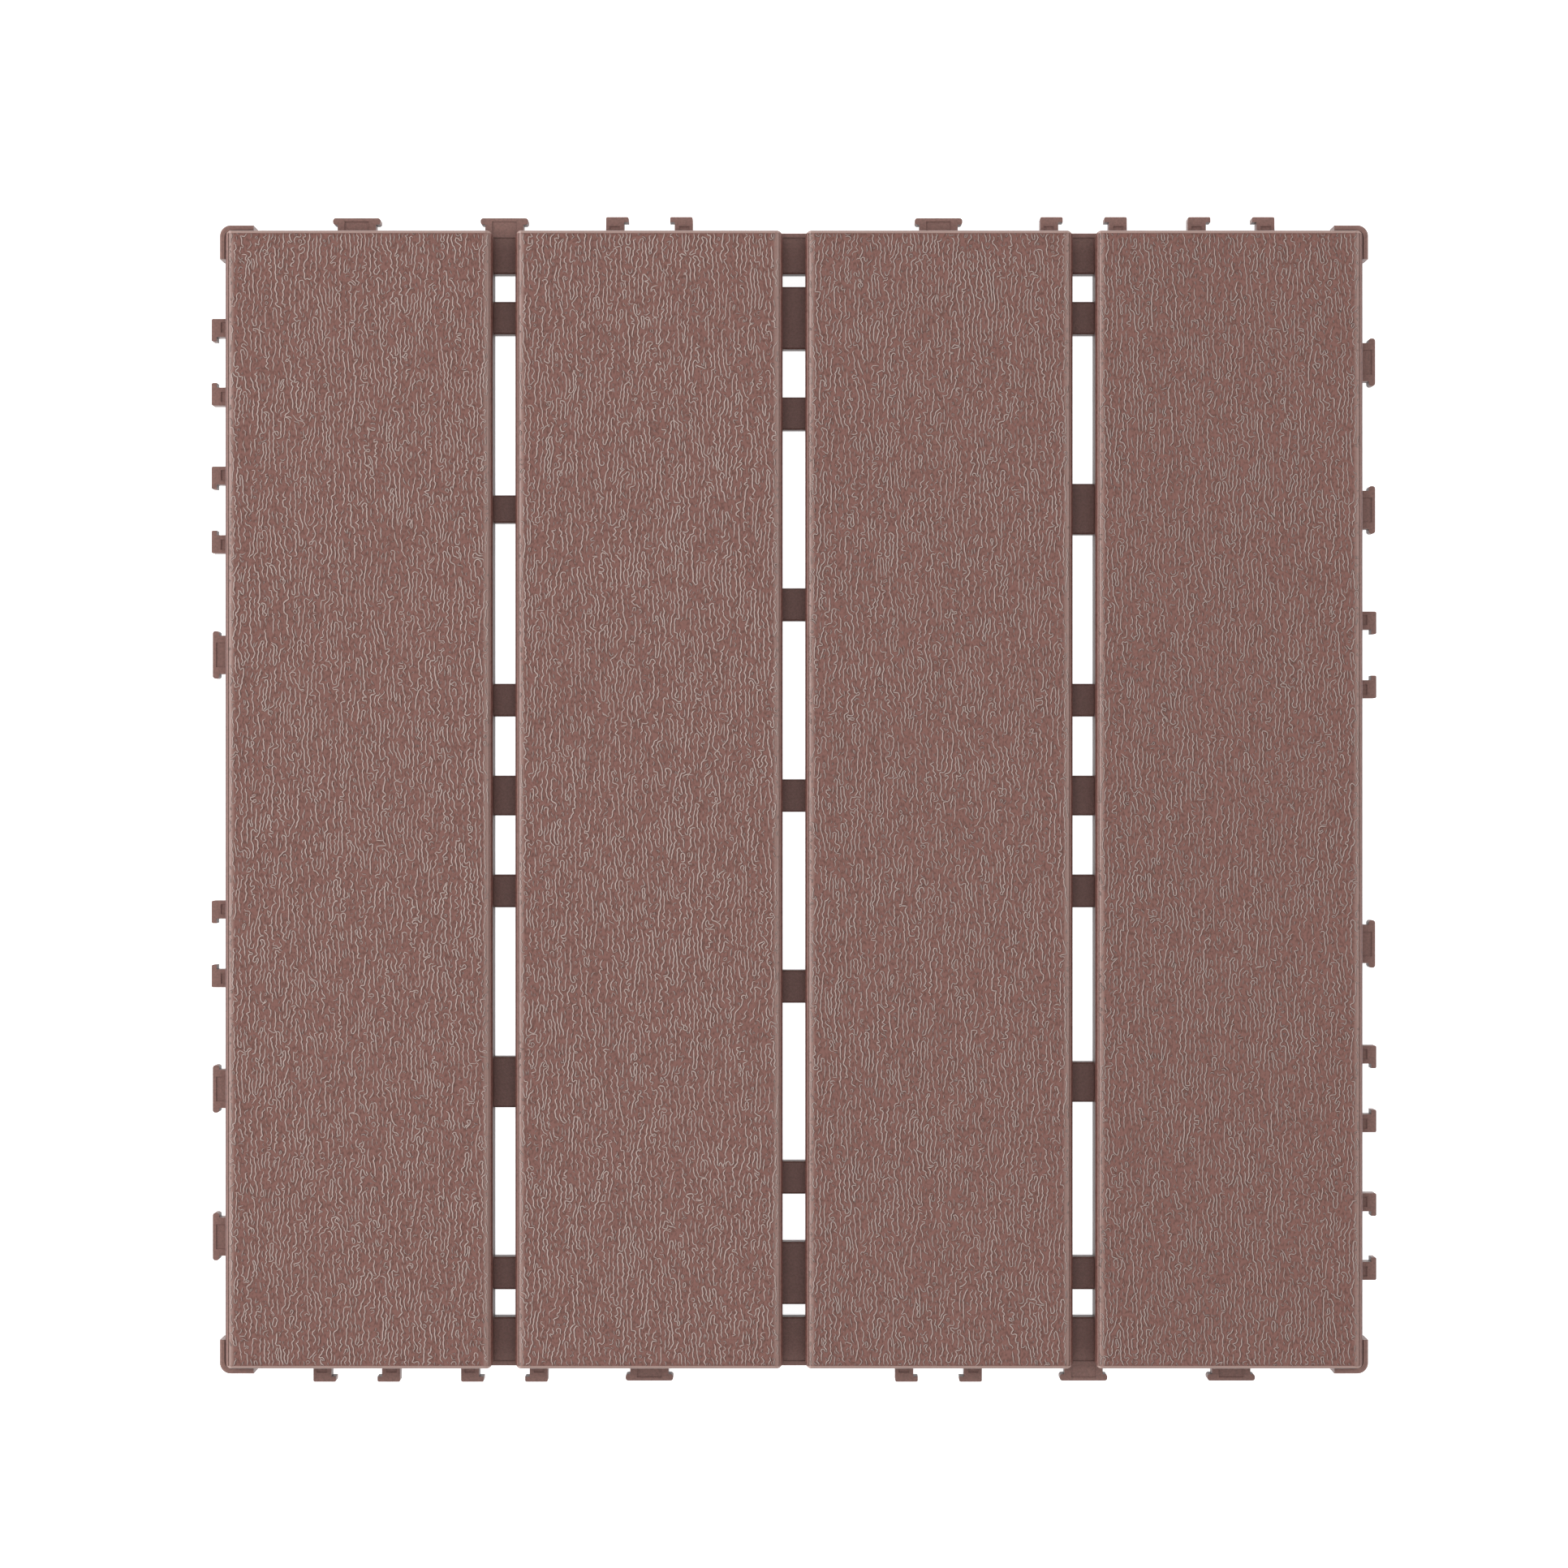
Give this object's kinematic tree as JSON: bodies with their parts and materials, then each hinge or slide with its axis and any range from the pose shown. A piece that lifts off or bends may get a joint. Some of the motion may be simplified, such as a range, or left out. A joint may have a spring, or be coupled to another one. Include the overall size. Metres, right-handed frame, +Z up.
{
  "type": "interlocking deck tile",
  "caption": "Square plastic deck tile: parallel grained slats on a low ribbed base, with drainage slots and edge tongues and hooks that clip tiles together.",
  "frame": {"origin": "on the ground, under the middle of the tile", "axes": "+Z up out of the slats, +Y along the slats, towards the top of the picture, +X to its right"},
  "size_m": [0.3038, 0.3038, 0.0185],
  "materials": {
    "brown_plastic": "matte reddish-brown moulded polypropylene, fine embossed wood grain on the slats, plain on the base and the connectors"
  },
  "bodies": {
    "root": {"deck_tile": "brown_plastic"}
  },
  "joints": []
}
